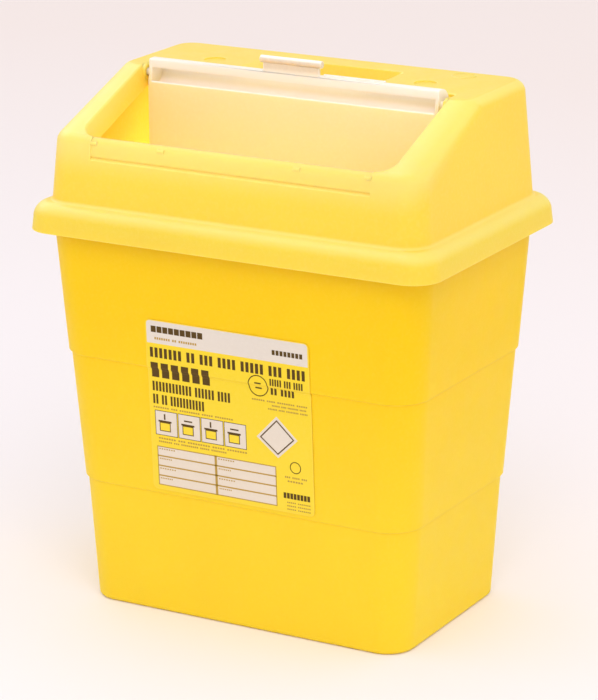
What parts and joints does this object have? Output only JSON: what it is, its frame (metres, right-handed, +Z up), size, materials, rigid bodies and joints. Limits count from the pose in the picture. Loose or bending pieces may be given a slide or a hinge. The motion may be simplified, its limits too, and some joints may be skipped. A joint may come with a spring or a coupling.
{
  "type": "sharps container",
  "caption": "Tapered yellow waste bin with a push-fit lid, a slanted drop opening and a pivoting translucent closure flap with a finger tab, and a label on the front.",
  "frame": {"origin": "middle of the flat underside of the bin, on the surface it stands on", "axes": "+Z up, -Y out of the labelled front, +X to the right when seen from the front"},
  "size_m": [0.306, 0.2016, 0.3789],
  "materials": {
    "bin_plastic": "satin, saturated yellow polypropylene",
    "lid_plastic": "satin, slightly paler yellow polypropylene",
    "flap_plastic": "satin, uncoloured translucent polypropylene",
    "label_film": "printed film, yellow ground with white panels and brown print"
  },
  "bodies": {
    "bin": {"bin": "bin_plastic", "front_label": "label_film"},
    "lid": {"lid": "lid_plastic"},
    "flap": {"closure_flap": "flap_plastic"}
  },
  "joints": [
    {"name": "lid_lift", "type": "slide", "parent": "bin", "child": "lid", "axis": [0, 0, 1], "range_m": [0, 0.12]},
    {"name": "flap_hinge", "type": "hinge", "parent": "lid", "child": "flap", "pos_m": [0, 0.002, 0.358], "axis": [-1, 0, 0], "range_deg": [0, 68]}
  ]
}
